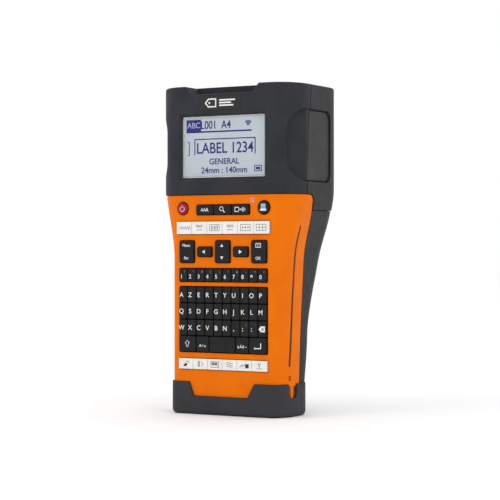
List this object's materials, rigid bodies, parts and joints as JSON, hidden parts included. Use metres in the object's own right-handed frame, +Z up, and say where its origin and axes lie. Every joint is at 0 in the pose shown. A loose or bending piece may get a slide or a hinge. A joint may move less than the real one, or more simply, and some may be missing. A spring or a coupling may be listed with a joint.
{
  "type": "handheld label maker",
  "caption": "Handheld label printer: display head with a lift-off tape cover over a slim keyboard grip in a rubber foot bumper.",
  "frame": {"origin": "on the ground, under the middle of the standing device's bounding box", "axes": "+Z up along the device towards the display head, +X to the right as the keyboard is read, +Y from the keyboard face to the back"},
  "size_m": [0.1224, 0.0849, 0.25],
  "materials": {
    "head_plastic": "fine matt texture",
    "cover_plastic": "fine matt texture",
    "orange_plastic": "fine satin texture",
    "bumper_rubber": "matt",
    "clear_window": "clear, polished",
    "display_panel": "grey-blue reflective display",
    "white_plastic": "smooth",
    "badge_gloss": "polished black",
    "keypad_rubber": "matt",
    "circuit_board": "solder resist",
    "battery_wrap": "shrink wrap",
    "frame_plastic": "smooth",
    "aluminium_part": "satin",
    "steel": "plated",
    "cassette_plastic": "satin",
    "label_tape": "wound film",
    "ribbon_film": "wound film",
    "brass_part": "turned",
    "gear_plastic": "smooth acetal",
    "key_dark": "matt silicone",
    "key_white": "matt silicone",
    "key_red": "matt silicone"
  },
  "bodies": {
    "chassis": {"head_shell": "head_plastic", "keyboard_shell": "orange_plastic", "rear_shell": "cover_plastic", "bumper": "bumper_rubber", "side_trims": "bumper_rubber", "display_window": "clear_window", "display_panel": "display_panel", "display_frame": "white_plastic", "badge": "badge_gloss", "keypad_mat": "keypad_rubber", "main_board": "circuit_board", "battery_pack": "battery_wrap", "bay_frame": "frame_plastic", "print_head": "aluminium_part", "cutter_anvil": "steel", "drive_motor": "steel", "screws": "steel", "strap_bar": "orange_plastic", "power_socket": "badge_gloss", "data_socket": "steel"},
    "cover": {"tape_cover": "cover_plastic"},
    "cover_button_right": {"cover_button_right": "cover_plastic"},
    "cover_button_left": {"cover_button_left": "cover_plastic"},
    "battery_door": {"battery_door": "cover_plastic"},
    "port_flap": {"port_flap": "bumper_rubber"},
    "cassette": {"cassette_shell": "cassette_plastic"},
    "tape_roll": {"tape_roll": "label_tape"},
    "ribbon_supply": {"ribbon_supply": "ribbon_film"},
    "ribbon_take_up": {"ribbon_take_up": "ribbon_film"},
    "cutter_blade": {"cutter_blade": "steel"},
    "motor_pinion": {"motor_pinion": "brass_part"},
    "drive_wheel": {"drive_wheel": "gear_plastic"},
    "idler_wheel": {"idler_wheel": "gear_plastic"},
    "feed_roller": {"roller_shaft": "steel", "platen_roller": "keypad_rubber"},
    "ribbon_spindle": {"ribbon_spindle": "gear_plastic"},
    "power_key": {"power_key": "key_red"},
    "print_key": {"print_key": "key_dark"},
    "font_key": {"font_key": "key_dark"},
    "preview_key": {"preview_key": "key_dark"},
    "feed_key": {"feed_key": "key_dark"},
    "menu_key": {"menu_key": "key_dark"},
    "left_key": {"left_key": "key_dark"},
    "up_down_key": {"up_down_key": "key_dark"},
    "right_key": {"right_key": "key_dark"},
    "ok_key": {"ok_key": "key_dark"},
    "shift_key": {"shift_key": "key_dark"},
    "accent_key": {"accent_key": "key_dark"},
    "space_key": {"space_key": "key_dark"},
    "symbol_key": {"symbol_key": "key_dark"},
    "enter_key": {"enter_key": "key_dark"},
    "backspace_key": {"backspace_key": "key_dark"},
    "format_keys": {"format_keys": "key_white"},
    "label_type_keys": {"label_type_keys": "key_white"},
    "number_keys": {"number_keys": "key_dark"},
    "letter_row_1": {"letter_row_1": "key_dark"},
    "letter_row_2": {"letter_row_2": "key_dark"},
    "letter_row_3": {"letter_row_3": "key_dark"}
  },
  "joints": [
    {"name": "cover_lift_off", "type": "slide", "parent": "chassis", "child": "cover", "axis": [0, 1, 0], "range_m": [0, 0.07]},
    {"name": "cover_button_right_press", "type": "slide", "parent": "cover", "child": "cover_button_right", "axis": [-1, 0, 0], "range_m": [0, 0.0014], "stiffness_N_per_m": 1500},
    {"name": "cover_button_left_press", "type": "slide", "parent": "cover", "child": "cover_button_left", "axis": [1, 0, 0], "range_m": [0, 0.0014], "stiffness_N_per_m": 1500},
    {"name": "battery_door_lift_off", "type": "slide", "parent": "chassis", "child": "battery_door", "axis": [0, 1, 0], "range_m": [0, 0.045]},
    {"name": "port_flap_hinge", "type": "hinge", "parent": "chassis", "child": "port_flap", "pos_m": [-0.0501, -0.0076, 0.076], "axis": [0, 0, 1], "range_deg": [0, 95]},
    {"name": "cassette_lift_out", "type": "slide", "parent": "chassis", "child": "cassette", "axis": [0, 1, 0], "range_m": [0, 0.0315]},
    {"name": "cutter_stroke", "type": "slide", "parent": "chassis", "child": "cutter_blade", "axis": [1, 0, 0], "range_m": [0, 0.0036], "stiffness_N_per_m": 300},
    {"name": "motor_pinion_spin", "type": "hinge", "parent": "chassis", "child": "motor_pinion", "pos_m": [0.027, -0.0136, 0.152], "axis": [0, 1, 0], "continuous": true},
    {"name": "drive_wheel_spin", "type": "hinge", "parent": "chassis", "child": "drive_wheel", "pos_m": [0.026, -0.0136, 0.1756], "axis": [0, 1, 0], "continuous": true},
    {"name": "idler_wheel_spin", "type": "hinge", "parent": "chassis", "child": "idler_wheel", "pos_m": [0.00473, -0.0136, 0.20098], "axis": [0, 1, 0], "continuous": true},
    {"name": "feed_roller_spin", "type": "hinge", "parent": "chassis", "child": "feed_roller", "pos_m": [0.00265, -0.0136, 0.222], "axis": [0, 1, 0], "continuous": true},
    {"name": "ribbon_spindle_spin", "type": "hinge", "parent": "chassis", "child": "ribbon_spindle", "pos_m": [-0.01421, -0.0136, 0.18772], "axis": [0, 1, 0], "continuous": true},
    {"name": "tape_roll_spin", "type": "hinge", "parent": "cassette", "child": "tape_roll", "pos_m": [0.022, 0.0064, 0.193], "axis": [0, 1, 0], "continuous": true},
    {"name": "ribbon_supply_spin", "type": "hinge", "parent": "cassette", "child": "ribbon_supply", "pos_m": [-0.026, 0.0064, 0.222], "axis": [0, 1, 0], "continuous": true},
    {"name": "ribbon_take_up_spin", "type": "hinge", "parent": "cassette", "child": "ribbon_take_up", "pos_m": [-0.01421, 0.0064, 0.18772], "axis": [0, 1, 0], "continuous": true},
    {"name": "power_key_press", "type": "slide", "parent": "chassis", "child": "power_key", "axis": [0, 1, 0], "range_m": [0, 0.0008], "stiffness_N_per_m": 900},
    {"name": "print_key_press", "type": "slide", "parent": "chassis", "child": "print_key", "axis": [0, 1, 0], "range_m": [0, 0.0008], "stiffness_N_per_m": 900},
    {"name": "font_key_press", "type": "slide", "parent": "chassis", "child": "font_key", "axis": [0, 1, 0], "range_m": [0, 0.0008], "stiffness_N_per_m": 900},
    {"name": "preview_key_press", "type": "slide", "parent": "chassis", "child": "preview_key", "axis": [0, 1, 0], "range_m": [0, 0.0008], "stiffness_N_per_m": 900},
    {"name": "feed_key_press", "type": "slide", "parent": "chassis", "child": "feed_key", "axis": [0, 1, 0], "range_m": [0, 0.0008], "stiffness_N_per_m": 900},
    {"name": "menu_key_press", "type": "slide", "parent": "chassis", "child": "menu_key", "axis": [0, 1, 0], "range_m": [0, 0.0008], "stiffness_N_per_m": 900},
    {"name": "left_key_press", "type": "slide", "parent": "chassis", "child": "left_key", "axis": [0, 1, 0], "range_m": [0, 0.0008], "stiffness_N_per_m": 900},
    {"name": "up_down_key_press", "type": "slide", "parent": "chassis", "child": "up_down_key", "axis": [0, 1, 0], "range_m": [0, 0.0008], "stiffness_N_per_m": 900},
    {"name": "right_key_press", "type": "slide", "parent": "chassis", "child": "right_key", "axis": [0, 1, 0], "range_m": [0, 0.0008], "stiffness_N_per_m": 900},
    {"name": "ok_key_press", "type": "slide", "parent": "chassis", "child": "ok_key", "axis": [0, 1, 0], "range_m": [0, 0.0008], "stiffness_N_per_m": 900},
    {"name": "shift_key_press", "type": "slide", "parent": "chassis", "child": "shift_key", "axis": [0, 1, 0], "range_m": [0, 0.0008], "stiffness_N_per_m": 900},
    {"name": "accent_key_press", "type": "slide", "parent": "chassis", "child": "accent_key", "axis": [0, 1, 0], "range_m": [0, 0.0008], "stiffness_N_per_m": 900},
    {"name": "space_key_press", "type": "slide", "parent": "chassis", "child": "space_key", "axis": [0, 1, 0], "range_m": [0, 0.0008], "stiffness_N_per_m": 1500},
    {"name": "symbol_key_press", "type": "slide", "parent": "chassis", "child": "symbol_key", "axis": [0, 1, 0], "range_m": [0, 0.0008], "stiffness_N_per_m": 900},
    {"name": "enter_key_press", "type": "slide", "parent": "chassis", "child": "enter_key", "axis": [0, 1, 0], "range_m": [0, 0.0008], "stiffness_N_per_m": 900},
    {"name": "backspace_key_press", "type": "slide", "parent": "chassis", "child": "backspace_key", "axis": [0, 1, 0], "range_m": [0, 0.0008], "stiffness_N_per_m": 900},
    {"name": "format_keys_press", "type": "slide", "parent": "chassis", "child": "format_keys", "axis": [0, 1, 0], "range_m": [0, 0.0008], "stiffness_N_per_m": 3600},
    {"name": "label_type_keys_press", "type": "slide", "parent": "chassis", "child": "label_type_keys", "axis": [0, 1, 0], "range_m": [0, 0.0008], "stiffness_N_per_m": 3600},
    {"name": "number_keys_press", "type": "slide", "parent": "chassis", "child": "number_keys", "axis": [0, 1, 0], "range_m": [0, 0.0008], "stiffness_N_per_m": 3600},
    {"name": "letter_row_1_press", "type": "slide", "parent": "chassis", "child": "letter_row_1", "axis": [0, 1, 0], "range_m": [0, 0.0008], "stiffness_N_per_m": 3600},
    {"name": "letter_row_2_press", "type": "slide", "parent": "chassis", "child": "letter_row_2", "axis": [0, 1, 0], "range_m": [0, 0.0008], "stiffness_N_per_m": 3600},
    {"name": "letter_row_3_press", "type": "slide", "parent": "chassis", "child": "letter_row_3", "axis": [0, 1, 0], "range_m": [0, 0.0008], "stiffness_N_per_m": 3600}
  ],
  "couplings": [
    {"joint": "cassette_lift_out", "follows": "cover_lift_off", "ratio": 0.45},
    {"joint": "motor_pinion_spin", "follows": "drive_wheel_spin", "ratio": -4.2222},
    {"joint": "idler_wheel_spin", "follows": "drive_wheel_spin", "ratio": -1.3571},
    {"joint": "feed_roller_spin", "follows": "drive_wheel_spin", "ratio": 2.7143},
    {"joint": "ribbon_spindle_spin", "follows": "drive_wheel_spin", "ratio": 2.1111},
    {"joint": "ribbon_take_up_spin", "follows": "drive_wheel_spin", "ratio": 2.1111},
    {"joint": "tape_roll_spin", "follows": "drive_wheel_spin", "ratio": 0.67059},
    {"joint": "ribbon_supply_spin", "follows": "drive_wheel_spin", "ratio": 1.2667}
  ]
}
